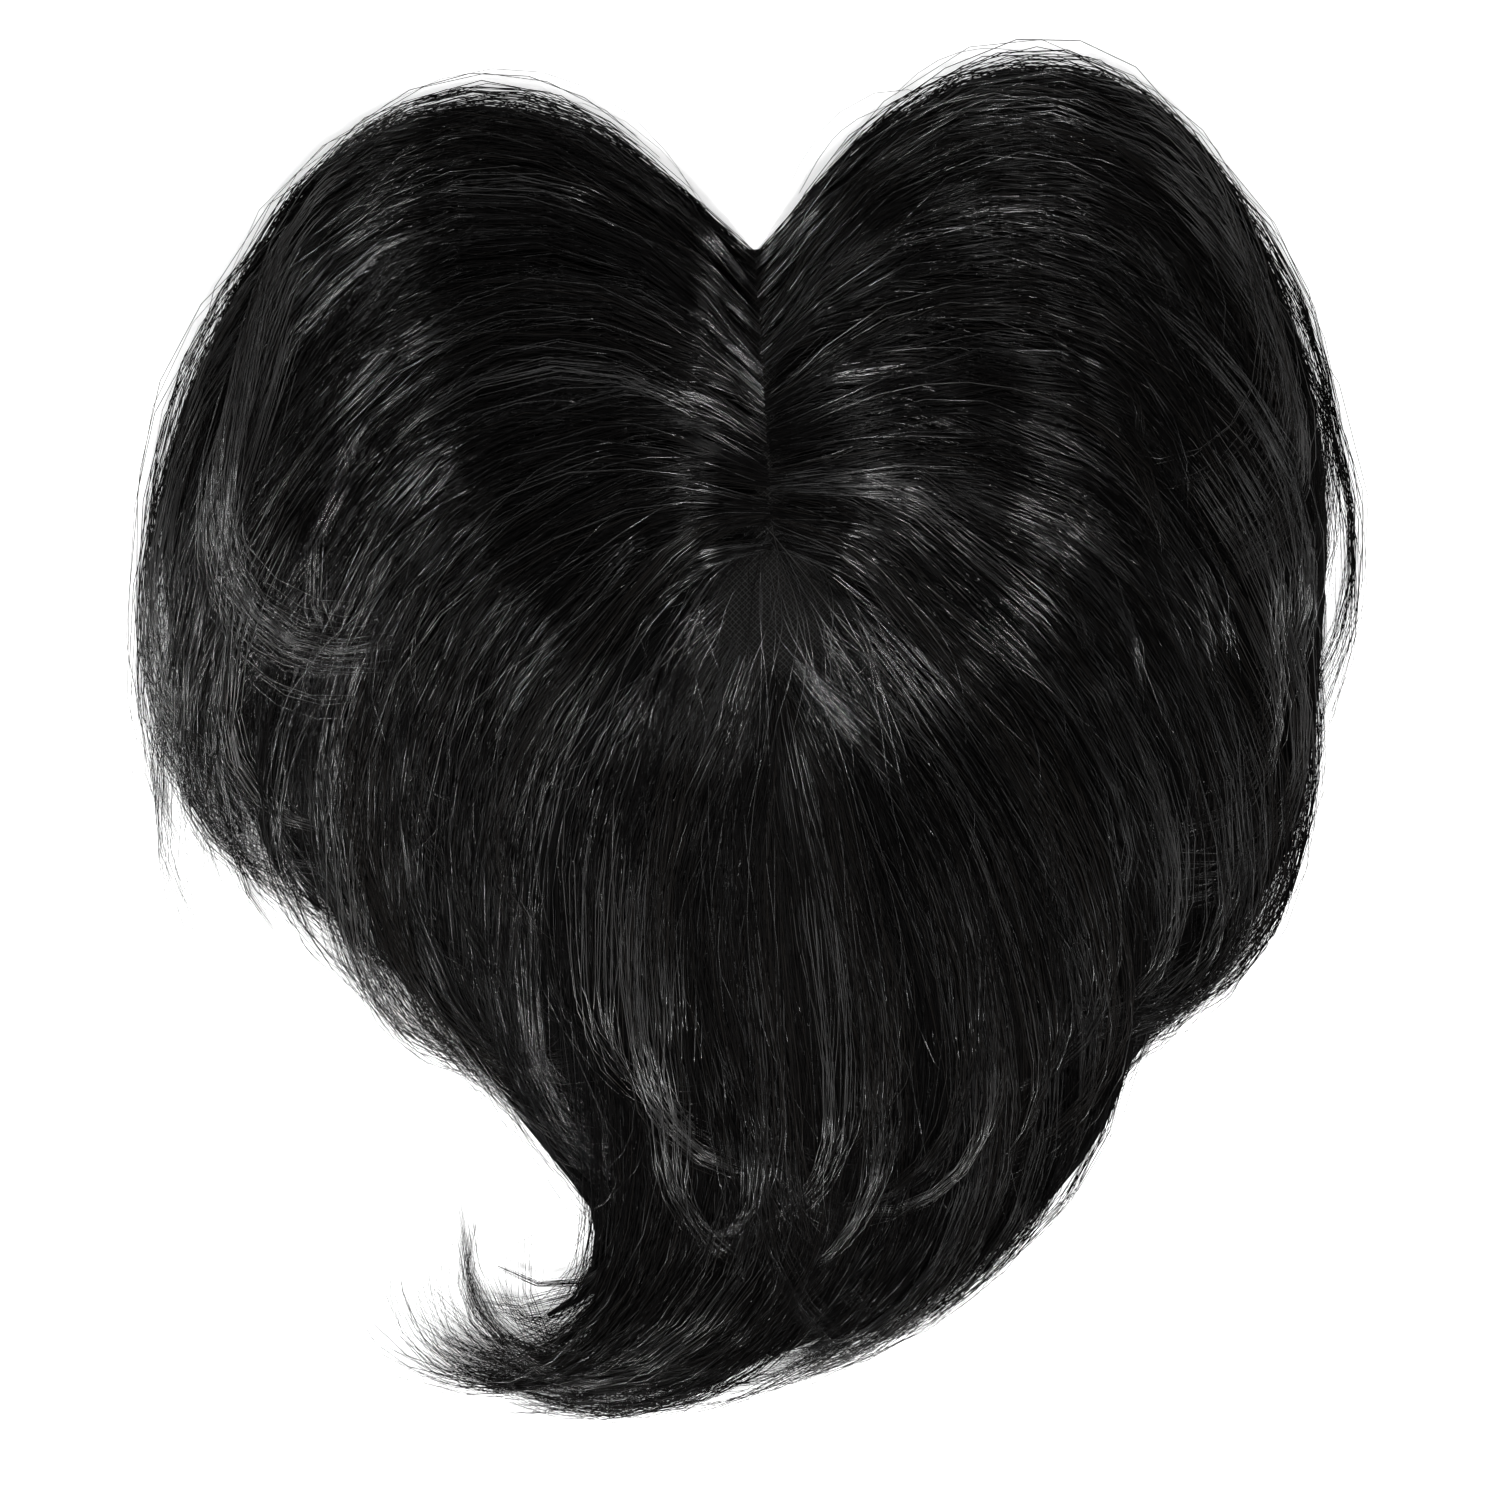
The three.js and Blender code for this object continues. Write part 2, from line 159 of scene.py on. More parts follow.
class Comb(NamedTuple):
    """A comb line. Headings are degrees from +X towards +Y at the root, at each quarter and at the tip."""

    place: float  # order within its table, from 0 to 1
    station: float  # share of the parting, front to back, where the line leaves it
    headings: tuple
    length: float  # millimetres
    width: float  # how far the hair spreads to each side of the line, millimetres
    depth: float  # share of FULL_DEPTH
    tip: float  # share of that depth left at the tip


LEFT = [
    Comb(0.0, 0.0, (143, 172, 242, 254, 262), 254, 5, 0.45, 0.3),
    Comb(0.1, 0.1, (130, 172, 242, 253, 268), 266, 15, 0.75, 0.3),
    Comb(0.22, 0.22, (133, 175, 238, 252, 273), 270, 20, 1.0, 0.25),
    Comb(0.36, 0.36, (138, 187, 231, 252, 291), 246, 22, 1.0, 0.35),
    Comb(0.5, 0.5, (156, 198, 242, 266, 308), 229, 22, 1.0, 0.25),
    Comb(0.62, 0.62, (175, 214, 258, 288, 308), 222, 20, 0.95, 0.25),
    Comb(0.72, 0.72, (200, 243, 267, 280, 272), 222, 18, 0.9, 0.25),
]
RIGHT = [
    Comb(0.0, 0.0, (45, 20, -55, -82, -86), 262, 5, 0.45, 0.3),
    Comb(0.1, 0.1, (47, 11, -56, -78, -97), 254, 16, 0.75, 0.3),
    Comb(0.22, 0.22, (45, 4, -56, -77, -108), 250, 20, 1.0, 0.3),
    Comb(0.36, 0.36, (34, -10, -56, -82, -121), 241, 22, 1.0, 0.3),
    Comb(0.5, 0.5, (12, -20, -60, -91, -150), 240, 22, 1.0, 0.3),
    Comb(0.62, 0.62, (-8, -36, -66, -96, -150), 220, 20, 0.95, 0.3),
    Comb(0.72, 0.72, (-26, -50, -76, -108, -150), 228, 16, 0.9, 0.25),
]
# The back hair goes round the crown from the left to the right of the parting
BACK = [
    Comb(0.0, 0.72, (200, 243, 274, 278, 158), 232, 16, 0.9, 0.25),
    Comb(0.22, 0.86, (240, 268, 280, 224, 160), 248, 16, 0.9, 0.25),
    Comb(0.44, 1.0, (262, 272, 276, 222, 166), 228, 16, 0.9, 0.3),
    Comb(0.56, 1.0, (288, 280, 268, 236, 180), 208, 18, 0.9, 0.3),
    Comb(0.78, 0.86, (312, 295, 277, 246, 192), 227, 20, 0.9, 0.25),
    Comb(1.0, 0.72, (332, 309, 285, 256, 210), 232, 18, 0.9, 0.25),
]
# Strands that leave the crown and fan out over the bare net
FAN = [
    Comb(0.0, 0.6, (204, 236, 262, 262, 200), 225, 3, 0.85, 0.3),
    Comb(0.25, 0.62, (228, 252, 274, 250, 190), 230, 3, 0.85, 0.3),
    Comb(0.5, 0.66, (272, 272, 274, 240, 185), 230, 3, 0.85, 0.3),
    Comb(0.75, 0.62, (306, 294, 274, 250, 200), 230, 3, 0.85, 0.3),
    Comb(1.0, 0.6, (330, 310, 282, 258, 212), 225, 3, 0.85, 0.3),
]


class Lot(NamedTuple):
    """Locks of one kind. Each pair is a range that a lock draws from."""

    places: tuple  # along its comb table
    locks: int
    strands: int  # in each lock
    start: tuple  # share of the comb line where the strands come up
    end: tuple  # share of the comb line where they end
    level: tuple  # share of the hair's depth that they lie at
    curl: tuple  # degrees that the last stretch turns in
    bend: float = 0.7  # share of the lock where that stretch begins
    spread: float = 0.022  # half the lock's width, as a share of the comb table
    wander: float = 2.5  # degrees that single strands stray
    perch: float = 0.0  # millimetres that the lock rides up over its neighbours as it begins to turn in
    glossy: float = 0.18  # share of the locks
    beside: tuple = (-1.0, 1.0)  # how far the lock lies to the left of its line, of the line's width


SIDE_LOTS = [
    Lot((0.0, 0.7), 64, 26, (0.0, 0.0), (0.92, 1.04), (0.92, 1.02), (8, 70)),
    Lot((0.0, 0.7), 36, 22, (0.04, 0.5), (0.84, 1.04), (0.7, 0.98), (10, 75), spread=0.026),
    Lot((0.08, 0.7), 20, 20, (0.0, 0.2), (0.6, 0.84), (0.98, 1.06), (40, 95),
        bend=0.66, spread=0.013, perch=1.5, glossy=0.3),
    Lot((0.0, 0.12), 30, 25, (0.02, 0.3), (0.6, 1.02), (0.1, 0.9), (0, 40), spread=0.014),
    Lot((0.0, 0.7), 130, 1, (0.0, 0.3), (0.4, 0.9), (1.0, 1.12), (-60, 90),
        bend=0.6, spread=0.0, wander=7.0, glossy=0.6),
]
BACK_LOTS = [
    Lot((0.0, 1.0), 64, 26, (0.0, 0.05), (0.88, 1.08), (0.9, 1.02), (0, 24), spread=0.03),
    Lot((0.0, 1.0), 36, 22, (0.06, 0.5), (0.8, 1.06), (0.66, 0.98), (0, 28), spread=0.035),
    Lot((0.1, 0.9), 10, 20, (0.0, 0.1), (0.44, 0.6), (0.97, 1.04), (15, 60), perch=1.0, glossy=0.3),
    Lot((0.0, 1.0), 110, 1, (0.0, 0.3), (0.4, 0.9), (1.0, 1.12), (-60, 90),
        bend=0.6, spread=0.0, wander=7.0, glossy=0.6),
]
FAN_LOTS = [
    Lot((0.0, 1.0), 12, 3, (0.0, 0.03), (0.4, 1.0), (0.95, 1.04), (-40, 60),
        bend=0.4, spread=0.03, wander=8.0, glossy=0.7),
    Lot((0.0, 1.0), 40, 1, (0.0, 0.08), (0.15, 0.6), (0.95, 1.06), (-80, 90),
        bend=0.2, spread=0.0, wander=20.0, glossy=0.7),
]
# The short layer on the back hair: its left half turns in to the right, and its right half to the left
BACK_LAYER_LEFT = [
    Lot((0.0, 0.42), 13, 24, (0.2, 0.35), (0.6, 0.76), (1.0, 1.06), (75, 130),
        bend=0.6, wander=3.0, perch=6.5, glossy=0.5),
]
BACK_LAYER_RIGHT = [
    Lot((0.5, 1.0), 15, 24, (0.2, 0.35), (0.62, 0.8), (1.0, 1.06), (40, 85),
        bend=0.62, wander=3.0, perch=6.5, glossy=0.5),
]
# Tufts that turn up out of the tail
TAIL_FLICKS = [
    Lot((0.16, 0.26), 6, 26, (0.35, 0.5), (1.04, 1.09), (1.0, 1.05), (66, 82),
        bend=0.55, spread=0.01, perch=2.5, glossy=0.4, beside=(-0.2, 0.3)),
    Lot((0.03, 0.1), 2, 20, (0.35, 0.5), (1.0, 1.04), (0.9, 1.0), (50, 75),
        bend=0.74, spread=0.01, wander=3.0, perch=1.5, glossy=0.4, beside=(0.0, 0.3)),
]
# The turned-in tips that stand out on each side, one lot for each
LEFT_FLICKS = [
    Lot((0.0, 0.05), 6, 26, (0.4, 0.5), (0.95, 1.0), (2.3, 2.5), (105, 130),
        bend=0.52, spread=0.01, wander=2.0, perch=6.0, glossy=1.0, beside=(-0.8, 0.0)),
    Lot((0.2, 0.3), 6, 20, (0.4, 0.5), (0.98, 1.04), (1.0, 1.05), (70, 110),
        bend=0.62, spread=0.012, perch=4.0, glossy=0.7, beside=(-1.0, 0.2)),
    Lot((0.36, 0.46), 6, 20, (0.4, 0.5), (0.98, 1.04), (1.0, 1.05), (70, 110),
        bend=0.62, spread=0.012, perch=4.0, glossy=0.7, beside=(-1.0, 0.2)),
    Lot((0.54, 0.64), 5, 20, (0.4, 0.5), (0.98, 1.04), (1.0, 1.05), (70, 110),
        bend=0.62, spread=0.012, perch=4.0, glossy=0.7, beside=(-1.0, 0.2)),
]
RIGHT_FLICKS = [
    Lot((0.02, 0.08), 5, 22, (0.35, 0.45), (0.86, 0.92), (1.9, 2.1), (90, 120),
        bend=0.55, spread=0.012, perch=5.0, glossy=0.8, beside=(0.0, 0.8)),
    Lot((0.3, 0.42), 7, 22, (0.35, 0.45), (0.9, 0.98), (1.0, 1.05), (80, 110),
        bend=0.52, spread=0.013, perch=7.5, glossy=0.8, beside=(0.0, 1.0)),
    Lot((0.52, 0.62), 5, 22, (0.35, 0.45), (0.92, 1.02), (1.0, 1.05), (70, 100),
        bend=0.52, spread=0.013, perch=7.5, glossy=0.8, beside=(0.0, 1.0)),
]

# Colour ramps: the place of each stop, and its grey or colour
# Fibre ramp: near-black colours, whose lighter end also serves as painted sheen on perched locks
FIBRE_COLOURS_AND_SHEEN = [(0, (0.0014, 0.0013, 0.0014)), (0.7, (0.003, 0.0027, 0.0026)), (1, (0.008, 0.007, 0.0063))]
UNDER_TONES = [(0.3, 0.001), (0.7, 0.003)]
NET_THREAD_AND_HOLE_SHADE_TONES = [(0, 0.001), (1, (0.008, 0.0074, 0.007))]
THREAD_TONES = [(0.3, 0.003), (0.75, (0.022, 0.021, 0.02))]
ENAMEL_TONES = [(0.45, (0.012, 0.012, 0.013)), (0.8, (0.06, 0.06, 0.062))]
STUDIO_TONES = [(0.0, 0.08), (0.35, 0.03), (0.8, 0.01)]


def smooth(low, high, x):
    """Smooth step from 0 to 1."""
    t = np.clip((x - low) / (high - low), 0, 1)
    return t * t * (3 - 2 * t)


def dome_height(x, y):
    """Height of the net base's outer face."""
    reach = ((x - BASE_MIDDLE.x) / HALF_WIDTH) ** 2 + ((y - BASE_MIDDLE.y) / HALF_LENGTH) ** 2
    return BASE_RISE * np.maximum(0, 1 - reach)


class Lines(NamedTuple):
    """Comb lines at chosen places of a table, with a row in each column for each line."""

    station: np.ndarray
    headings: np.ndarray
    length: np.ndarray
    width: np.ndarray
    depth: np.ndarray
    tip: np.ndarray


def lines_at(table, places):
    """The comb lines at any places, between the table's own rows."""
    known = [row.place for row in table]
    rows = []
    for row in table:
        rows.append((row.station, *row.headings, row.length * MM, row.width * MM, row.depth, row.tip))
    columns = np.stack([np.interp(places, known, column) for column in zip(*rows)], axis=1)
    return Lines(*np.split(columns, [1, 6, 7, 8, 9], axis=1))


def headings_at(knots, t):
    """Headings at the shares t, on a smooth curve through five knots. Both have a row for each line."""
    first = 2 * knots[:, :1] - knots[:, 1:2]
    last = 2 * knots[:, -1:] - knots[:, -2:-1]
    ghosted = np.concatenate([first, knots, last], axis=1)
    spans = knots.shape[1] - 1
    place = np.clip(t, 0, 1) * spans
    i = np.minimum(place.astype(int), spans - 1)
    f = place - i
    a, b, c, d = (np.take_along_axis(ghosted, i + k, axis=1) for k in range(4))
    return b + 0.5 * f * (c - a + f * (2 * a - 5 * b + 4 * c - d + f * (3 * (b - c) + d - a)))


def hair_depth(t, x, y, lines):
    """Depth of hair over the net or the table at share t of comb lines. From a crest beside the parting it
    drops past the edge of the base to the table, and thins from there to the tip."""
    full = lines.depth * FULL_DEPTH
    tip_depth = np.maximum(TIP_DEPTH, lines.tip * full)
    dome = dome_height(x, y)
    beside_base = smooth(DROP_TO - 0.04, 0.62, t) * smooth(SHOULDER_FOOT, SHOULDER_TOP, y)
    lying = full + (tip_depth - full) * np.clip((t - DROP_TO) / (1 - DROP_TO), 0, 1)
    lying = lying * (1 + SHOULDER_RISE * beside_base)
    behind = smooth(0.5, 0.9, lines.station)
    sooner = CROWN_DROP * behind
    crest = dome[:, :1] + ROOT_DEPTH + CREST_LIFT * (smooth(-0.03, 0.08, t) + behind)
    fall = crest + (lying - crest) * smooth(DROP_FROM + sooner, DROP_TO + sooner, t)
    over_net = dome + ROOT_DEPTH
    return (over_net + fall + np.sqrt((over_net - fall) ** 2 + SOFTNESS**2)) / 2 - dome


def walk(table, places, shares, turn):
    """Points along comb lines, and the lines. turn is added to the headings half way between the shares."""
    lines = lines_at(table, places)
    middles = (shares[:, 1:] + shares[:, :-1]) / 2
    heading = np.radians(headings_at(lines.headings, middles) + turn)
    stride = np.diff(shares, axis=1) * lines.length
    root = np.array([PART_FRONT.lerp(PART_BACK, s) for s in lines.station[:, 0]])
    steps = np.stack([stride * np.cos(heading), stride * np.sin(heading)], axis=2)
    points = np.concatenate([np.zeros((len(places), 1, 2)), np.cumsum(steps, axis=1)], axis=1)
    return points + root[:, None, :], lines


def aside(flat, shift):
    """The same lines, moved to their left by shift."""
    ahead = np.gradient(flat, axis=1)
    ahead = ahead / np.linalg.norm(ahead, axis=2, keepdims=True)
    return flat + np.stack([-ahead[:, :, 1], ahead[:, :, 0]], axis=2) * shift[:, :, None]


def spread_at(t):
    """How wide hair lies beside its line: gathered at the root, full from a third on, narrow at the tip."""
    return smooth(0, 0.32, t) * (1 - 0.84 * smooth(0.55, 1, t))


class Strands(NamedTuple):
    """Strands that are ready to be drawn."""

    points: np.ndarray  # (strands, STRAND_STEPS + 1, 3)
    girth: np.ndarray  # (strands, STRAND_STEPS + 1)
    tone: np.ndarray  # (strands,)
    glossy: np.ndarray  # (strands,), true or false


def off_line(mids, start, end, phase, waves, curl, bend):
    """Degrees that lines turn off their comb lines: two waves along each, and its curl from the bend on."""
    along = np.clip((mids * end[:, None] - start[:, None]) / (end - start)[:, None], 0, 1)
    slow = waves[:, :1] * np.sin(2 * math.pi * 0.8 * along + phase[:, None])
    quick = waves[:, 1:] * np.sin(2 * math.pi * 1.7 * along + 2 * phase[:, None])
    return slow + quick + curl[:, None] * np.clip((along - bend) / (1 - bend), 0, 1) ** 1.1


def to_sheaves(rng, shares, lines, sheaves):
    """How far roots in front of the back hair move along the parting, towards the nearest sheaf."""
    sheaves = np.array(sheaves)
    away = sheaves[abs(lines.station - sheaves).argmin(axis=1)][:, None] - lines.station
    shift = away * rng.uniform(0.0, ROOT_PULL, (len(shares), 1)) * (1 - smooth(0.02, 0.16, shares))
    shift = shift * (lines.station < BACK_STATION)
    return shift[:, :, None] * np.array(PART_BACK - PART_FRONT)


def off_parting(rng, shares, lines):
    """How far roots stand to the side of the bare parting."""
    leaves_left = np.cos(np.radians(lines.headings[:, :1])) < 0
    flare = PART_HALF_GAP + PART_FLARE * (1 - smooth(0, 0.5, lines.station))
    edge = flare * rng.uniform(-0.1, 1.3, (len(shares), 1)) * np.where(leaves_left, -1, 1)
    return edge * (1 - smooth(0, 0.12, shares))


def past_window(rng, flat, shares):
    """The fine step at which each line has left the oval of bare net, or 0 where it doesn't cross it."""
    reach = ((flat[:, :, 0] - WINDOW_MIDDLE.x) / (WINDOW_WIDTH / 2)) ** 2
    reach = np.sqrt(reach + ((flat[:, :, 1] - WINDOW_MIDDLE.y) / (WINDOW_LENGTH / 2)) ** 2)
    bare = (reach < rng.uniform(0.7, 1.3, (len(flat), 1))) & (shares < 0.25)
    return np.where(bare.any(axis=1), FINE_STEPS - np.argmax(bare[:, ::-1], axis=1), 0)


def comb_lot(rng, table, lot, side):
    """Strands of one lot. side is +1 where the tips turn anticlockwise and -1 where they turn clockwise."""
    # What each lock draws
    locks = lot.locks
    middle = (np.arange(locks) + rng.random(locks)) / locks
    middle = lot.places[0] + (lot.places[1] - lot.places[0]) * middle
    start = rng.uniform(*lot.start, locks)
    end = rng.uniform(*lot.end, locks)
    level = rng.uniform(*lot.level, locks)
    curl = side * rng.uniform(*lot.curl, locks)
    sway = rng.uniform(-SWAY, SWAY, (locks, 2))
    phase = rng.uniform(0, 2 * math.pi, locks)
    gather = rng.uniform(*GATHER, locks)
    lift = rng.uniform(-1, 1, locks) * LOCK_LIFT
    sideways = rng.uniform(*lot.beside, locks)

    # What each strand draws
    lock = np.repeat(np.arange(locks), lot.strands)
    count = len(lock)
    across = rng.uniform(-1, 1, count)
    place = np.clip(middle[lock] + across * lot.spread, 0, 1)
    strand_start = np.clip(start[lock] + rng.normal(0, START_SCATTER, count), 0, None)
    strand_start = np.where(lot.start[1] == 0, 0, strand_start)
    strand_end = np.clip(end[lock] + rng.normal(0, END_SCATTER, count), strand_start + SHORTEST, LONGEST)
    stray = rng.normal(0, lot.wander, (count, 2))
    stray_phase = rng.uniform(0, 2 * math.pi, count)
    strand_curl = curl[lock] + rng.normal(0, CURL_SCATTER, count)

    # Its way over the table, seen from above, and that of the middle of its lock
    fine = np.linspace(0, 1, FINE_STEPS + 1)[None, :]
    mids = (fine[:, 1:] + fine[:, :-1]) / 2
    guide_turn = off_line(mids, start, end, phase, sway, curl, lot.bend)
    turn = off_line(mids, strand_start, strand_end, stray_phase, stray, strand_curl, lot.bend)
    turn = turn + off_line(mids, start, end, phase, sway, 0 * curl, lot.bend)[lock]
    shares = fine * strand_end[:, None]
    guide_shares = fine * end[:, None]
    flat, lines = walk(table, place, shares, turn)
    guide, guide_lines = walk(table, middle, guide_shares, guide_turn)
    flat = aside(flat, sideways[lock][:, None] * lines.width * spread_at(shares))
    guide = aside(guide, sideways[:, None] * guide_lines.width * spread_at(guide_shares))
    along = np.clip((shares - strand_start[:, None]) / (strand_end - strand_start)[:, None], 0, 1)
    pull = gather[lock][:, None] * smooth(0.35, 1, along) if lot.strands > 1 else 0 * along
    flat = flat + (guide[lock] - flat) * pull[:, :, None]

    # Its root, and where it comes into sight
    fans = table is FAN
    flat = flat + to_sheaves(rng, shares, lines, LEFT_SHEAVES if table is LEFT else RIGHT_SHEAVES)
    if fans:
        flat = flat + rng.normal(0, FAN_SCATTER, (count, 1, 2)) * MM
    off_side = off_parting(rng, shares, lines)
    if not fans:
        flat[:, :, 0] += off_side
    first = past_window(rng, flat, shares)
    if fans:
        first = 0 * first
    first = np.maximum(first, np.argmax(along > 0, axis=1) - 1)
    first = np.clip(first, 0, FINE_STEPS - STRAND_STEPS)

    # Its height
    since = shares - np.take_along_axis(shares, first[:, None], axis=1)
    rising = smooth(-0.012, 0.07, since)
    later = (first[:, None] > 0) & (not fans)
    surface = level[lock][:, None] * (1 - 0.15 * later * (1 - smooth(0, 0.16, since)))
    if fans:
        surface = surface * (0.45 + 0.55 * smooth(0.05, 0.25, shares))
    away = smooth(0.05, 0.3, shares)
    round_top = LOCK_ROUND * (1 - across[:, None] ** 2) * away
    drift = lift[lock][:, None] * away + rng.normal(0, HEIGHT_SCATTER, (count, 1)) * MM
    perch = lot.perch * MM * rng.uniform(0.7, 1.1, locks)[lock][:, None]
    perch = perch * smooth(lot.bend - 0.3, lot.bend, along)
    perch = perch * (1 - 0.75 * smooth(lot.bend, lot.bend + 0.18, along))
    swell = rng.uniform(*SWELL, locks)
    swell = swell * rng.choice((1, STRONG_SWELL), locks, p=(1 - STRONG_SHARE, STRONG_SHARE))
    swell = swell[lock][:, None] * MM * smooth(0.2, 0.5, shares)
    swell = swell * np.sin(shares * lines.length / (10 * MM) + 3 * phase[lock][:, None])
    tuck = 1 - rng.uniform(*TUCK, locks)[lock][:, None] * smooth(0.72, 1, along)
    depth = hair_depth(shares, flat[:, :, 0], flat[:, :, 1], lines)
    height = (depth * surface + round_top + drift + swell) * rising * tuck + perch
    flat_z = dome_height(flat[:, :, 0], flat[:, :, 1]) + np.maximum(height, LOWEST)

    # What is drawn of it
    points = thin_out(np.concatenate([flat, flat_z[:, :, None]], axis=2), first)
    share = np.linspace(0, 1, STRAND_STEPS + 1)[None, :]
    girth = rng.uniform(0.65, 1.15, (count, 1)) * (0.75 + 0.25 * smooth(0, 0.1, share))
    girth = girth * (1 - 0.82 * share**4)
    if lot.strands == 1:
        girth = girth * LONE_GIRTH
    # The colour value varies at random, and rises on locks that perch higher: that rise is painted sheen on
    # the raised locks
    tone = rng.normal(0.45 + 0.04 * lot.perch, 0.2, count) + rng.normal(0, 0.18, locks)[lock]
    tone = np.clip(tone, 0, 1)
    glossy = rng.random(count) < np.where(rng.random(locks) < lot.glossy, 0.85, 0.06)[lock]
    inside = ((points > cad_low - OVERHANG) & (points < cad_high + OVERHANG)).all(axis=(1, 2))
    return Strands(points[inside], girth[inside], tone[inside], glossy[inside])


def thin_out(path, first):
    """Few points for each fine path, from its first shown point, closer together where it turns."""
    leg = np.diff(path, axis=1)
    size = np.linalg.norm(leg, axis=2)
    unit = leg / size[:, :, None]
    bend = np.linalg.norm(np.diff(unit, axis=1), axis=2)
    bend = np.concatenate([bend[:, :1], bend], axis=1)
    index = np.arange(path.shape[1] - 1)[None, :]
    shown = index >= first[:, None]
    weight = np.where(shown, size + BEND_WEIGHT * bend, 0)
    run = np.concatenate([np.zeros((len(path), 1)), np.cumsum(weight, axis=1)], axis=1)
    wanted = np.linspace(0, 1, STRAND_STEPS + 1)
    points = np.empty((len(path), STRAND_STEPS + 1, 3))
    for n in range(len(path)):
        kept = slice(first[n], None)
        along = run[n, kept]
        for axis in range(3):
            points[n, :, axis] = np.interp(wanted * along[-1], along, path[n, kept, axis])
    return points


def join_strands(parts):
    """Several lots as one."""
    return Strands(*(np.concatenate(column) for column in zip(*parts)))


class Tree:
    """A node tree written as Python. add makes any node, and Value does the maths on numbers."""

    def __init__(self, node_tree):
        self.nodes = node_tree.nodes
        self.links = node_tree.links

    def add(self, kind, settings=None, sockets=None):
        """A node of any type. Its settings come first, such as an operation or a ramp's stops, and then the
        values or links of its sockets."""
        node = self.nodes.new(kind)
        for name, value in (settings or {}).items():
            if name == "stops":
                set_stops(node.color_ramp.elements, value)
            else:
                setattr(node, name, value)
        for name, value in (sockets or {}).items():
            self.plug(node.inputs[name], value)
        return node

    def plug(self, socket, value):
        """Gives a socket a plain value, or a link from a Value, a socket or a node's first output."""
        if isinstance(value, Value):
            value = value.socket
        if isinstance(value, bpy.types.Node):
            value = value.outputs[0]
        if isinstance(value, bpy.types.NodeSocket):
            self.links.new(value, socket)
        else:
            socket.default_value = value

    def value(self, node, output=0):
        return Value(self, node.outputs[output])


def set_stops(elements, stops):
    """Places and colours a ramp's stops, each given with a grey or a colour."""
    while len(elements) < len(stops):
        elements.new(0.5)
    for element, (place, colour) in zip(elements, stops):
        element.position = place
        element.color = (*colour, 1) if isinstance(colour, tuple) else (colour, colour, colour, 1)


class Value:
    """A number that changes over a surface. Its operators add Math nodes."""

    def __init__(self, tree, socket):
        self.tree = tree
        self.socket = socket

    def math(self, operation, *others):
        sockets = dict(enumerate([self, *others]))
        return self.tree.value(self.tree.add("ShaderNodeMath", {"operation": operation}, sockets))

    def __add__(self, other):
        return self.math("ADD", other)

    __radd__ = __add__

    def __mul__(self, other):
        return self.math("MULTIPLY", other)

    __rmul__ = __mul__

    def __sub__(self, other):
        return self.math("SUBTRACT", other)

    def __rsub__(self, other):
        return self.math("MULTIPLY", -1).math("ADD", other)


def new_material(name, constants):
    """A material with a Principled shader that has these values: (material, its tree, the shader)."""
    material = bpy.data.materials.new(name)
    material.use_nodes = True
    shader = material.node_tree.nodes["Principled BSDF"]
    for label, value in constants.items():
        shader.inputs[label].default_value = value
    return material, Tree(material.node_tree), shader


def noise(tree, where, scale, detail):
    """Soft spots of about 1 / scale metres on a set of coordinates."""
    sockets = {"Vector": where, "Scale": scale, "Detail": detail}
    return tree.value(tree.add("ShaderNodeTexNoise", None, sockets), "Fac")


def ramp(tree, factor, stops):
    """A colour that changes with a number."""
    return tree.add("ShaderNodeValToRGB", {"stops": stops}, {"Fac": factor})


def object_place(tree):
    """Where a point is on its piece."""
    return tree.add("ShaderNodeTexCoord").outputs["Object"]


def fibre_material(name, gloss):
    """Near-black fibre. Each strand's colour differs a little at random and is lighter on locks that perch
    higher, as painted sheen; it dulls a little in places along it.
    """
    material, tree, shader = new_material(name, {"Specular IOR Level": gloss, "IOR": 1.55})
    tone = tree.value(tree.add("ShaderNodeAttribute", {"attribute_name": "tone"}), "Fac")
    patch = noise(tree, object_place(tree), 45, 2)
    tree.plug(shader.inputs["Base Color"], ramp(tree, tone, FIBRE_COLOURS_AND_SHEEN))
    tree.plug(shader.inputs["Roughness"], 0.14 + 0.1 * tone + 0.12 * patch)
    return material


def under_material():
    """The hair below the top strands: near-black, with strands as a fine relief along each lock."""
    material, tree, shader = new_material("under_fibre", {"Specular IOR Level": 0.02})
    along = tree.add("ShaderNodeUVMap", {"uv_map": "strands"})
    strand = noise(tree, tree.add("ShaderNodeMapping", None, {"Vector": along, "Scale": (6, 900, 1)}), 1, 3)
    tree.plug(shader.inputs["Base Color"], ramp(tree, strand, UNDER_TONES))
    tree.plug(shader.inputs["Roughness"], 0.5 + 0.25 * strand)
    relief = {"Strength": 0.9, "Distance": 0.0004, "Height": strand}
    tree.plug(shader.inputs["Normal"], tree.add("ShaderNodeBump", None, relief))
    return material


def lattice(tree, pitch, thread):
    """1 on the threads of a diagonal net, 0 in its holes, on Object coordinates."""
    sockets = {"Vector": object_place(tree), "Rotation": (0, 0, math.pi / 4)}
    axes = tree.add("ShaderNodeSeparateXYZ", None, {0: tree.add("ShaderNodeMapping", None, sockets)})
    lines = []
    for axis in ("X", "Y"):
        ridge = tree.value(axes, axis).math("PINGPONG", pitch / 2)
        lines.append(1 - ridge.math("GREATER_THAN", thread / 2))
    return lines[0].math("MAXIMUM", lines[1])


